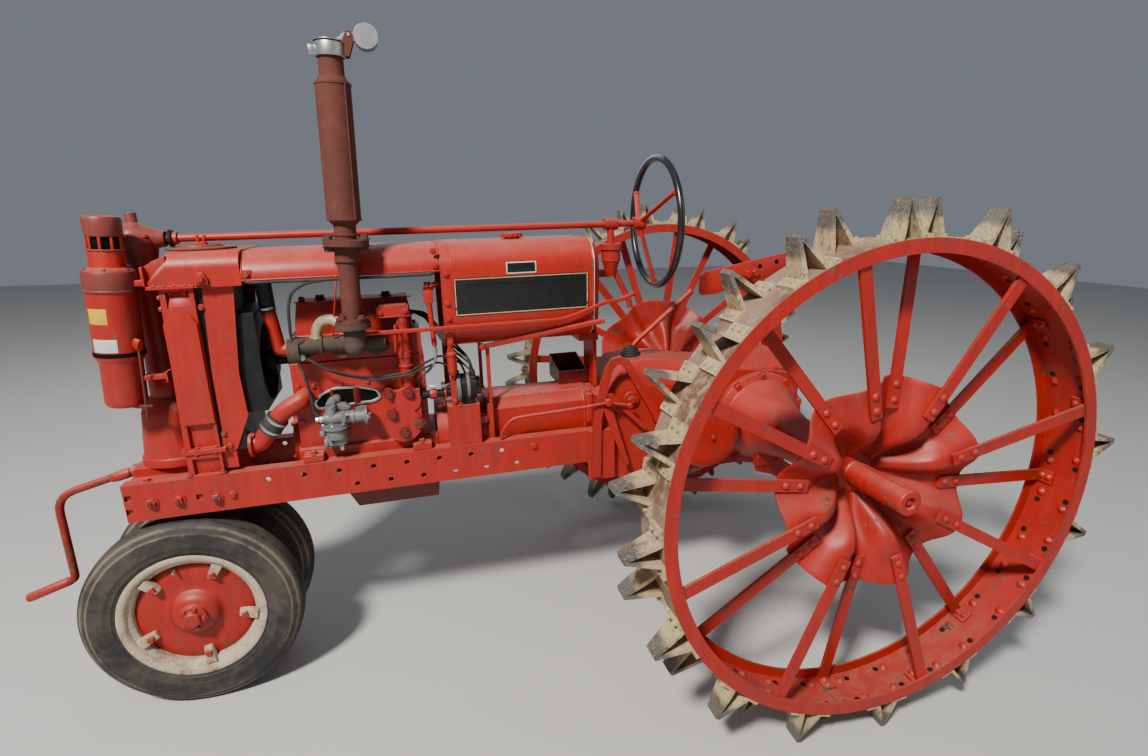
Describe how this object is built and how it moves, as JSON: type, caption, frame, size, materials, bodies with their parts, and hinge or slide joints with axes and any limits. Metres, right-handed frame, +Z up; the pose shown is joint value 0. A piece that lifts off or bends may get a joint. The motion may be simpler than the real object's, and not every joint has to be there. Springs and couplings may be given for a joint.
{
  "type": "tractor",
  "caption": "Light row-crop farm tractor of the 1930s with lugged steel rear wheels, close-set front tyres, an open engine and a long level steering shaft.",
  "frame": {"origin": "on the floor, under the middle of the overall box", "axes": "+X forwards, +Y to the machine's left, +Z up"},
  "size_m": [3.2372, 1.818, 2.0068],
  "materials": {
    "red_paint": "faded, worn and dusty",
    "dark_red_paint": "oily and darkened",
    "rusty_iron": "rusted matt",
    "black_paint": "satin",
    "grey_iron": "matt",
    "galvanised_steel": "dull zinc",
    "black_rubber": "dusty matt"
  },
  "bodies": {
    "chassis": {"frame_rail_left": "red_paint", "frame_rail_right": "red_paint", "front_bolster": "red_paint", "steering_pedestal": "red_paint", "steering_gear_case": "dark_red_paint", "radiator_core": "black_paint", "radiator_frame": "red_paint", "radiator_cap": "red_paint", "cooling_fan": "black_paint", "engine_block": "red_paint", "cylinder_head": "dark_red_paint", "oil_pan": "dark_red_paint", "exhaust_manifold": "rusty_iron", "exhaust_stack": "rusty_iron", "governor": "red_paint", "carburettor": "grey_iron", "magneto": "black_paint", "water_pipes": "red_paint", "air_cleaner": "red_paint", "starting_crank": "red_paint", "clutch_housing": "red_paint", "torque_tube": "red_paint", "transmission_case": "red_paint", "axle_housing_left": "red_paint", "axle_housing_right": "red_paint", "brake_drums": "red_paint", "fuel_tank": "red_paint", "tank_support": "red_paint", "tank_upright": "red_paint", "hood": "red_paint", "shaft_support": "red_paint", "seat_bar": "red_paint", "drawbar": "red_paint", "hooped_bar": "red_paint", "gear_lever": "red_paint", "tool_tray": "dark_red_paint"},
    "front_truck": {"steered_axle": "red_paint"},
    "front_wheel_left": {"front_rim_left": "red_paint", "front_tyre_left": "black_rubber"},
    "front_wheel_right": {"front_rim_right": "red_paint", "front_tyre_right": "black_rubber"},
    "rear_wheel_left": {"rear_rim_left": "red_paint", "rear_hub_left": "red_paint"},
    "rear_wheel_right": {"rear_rim_right": "red_paint", "rear_hub_right": "red_paint"},
    "steering_wheel": {"steering_shaft": "red_paint", "steering_wheel": "black_paint"},
    "rain_cap": {"rain_cap": "galvanised_steel"}
  },
  "joints": [
    {"name": "steering_turn", "type": "hinge", "parent": "chassis", "child": "front_truck", "pos_m": [1.1103, 0, 0.316], "axis": [0.0225, 0, 0.9997], "range_deg": [-70, 70]},
    {"name": "front_wheel_left_roll", "type": "hinge", "parent": "front_truck", "child": "front_wheel_left", "pos_m": [1.1103, 0.128, 0.316], "axis": [0, 1, 0], "continuous": true},
    {"name": "front_wheel_right_roll", "type": "hinge", "parent": "front_truck", "child": "front_wheel_right", "pos_m": [1.1103, -0.128, 0.316], "axis": [0, 1, 0], "continuous": true},
    {"name": "rear_wheel_left_roll", "type": "hinge", "parent": "chassis", "child": "rear_wheel_left", "pos_m": [-0.83569, 0.793, 0.78292], "axis": [0, 1, 0], "continuous": true},
    {"name": "rear_wheel_right_roll", "type": "hinge", "parent": "chassis", "child": "rear_wheel_right", "pos_m": [-0.83569, -0.793, 0.78292], "axis": [0, 1, 0], "continuous": true},
    {"name": "steering_wheel_turn", "type": "hinge", "parent": "chassis", "child": "steering_wheel", "pos_m": [-0.46766, 0, 1.49082], "axis": [0.9997, 0, -0.0225], "range_deg": [-840, 840]},
    {"name": "rain_cap_hinge", "type": "hinge", "parent": "chassis", "child": "rain_cap", "pos_m": [0.50269, 0.207, 1.97715], "axis": [0, -1, 0], "range_deg": [0, 60]}
  ],
  "couplings": [
    {"joint": "steering_wheel_turn", "follows": "steering_turn", "ratio": -12}
  ]
}
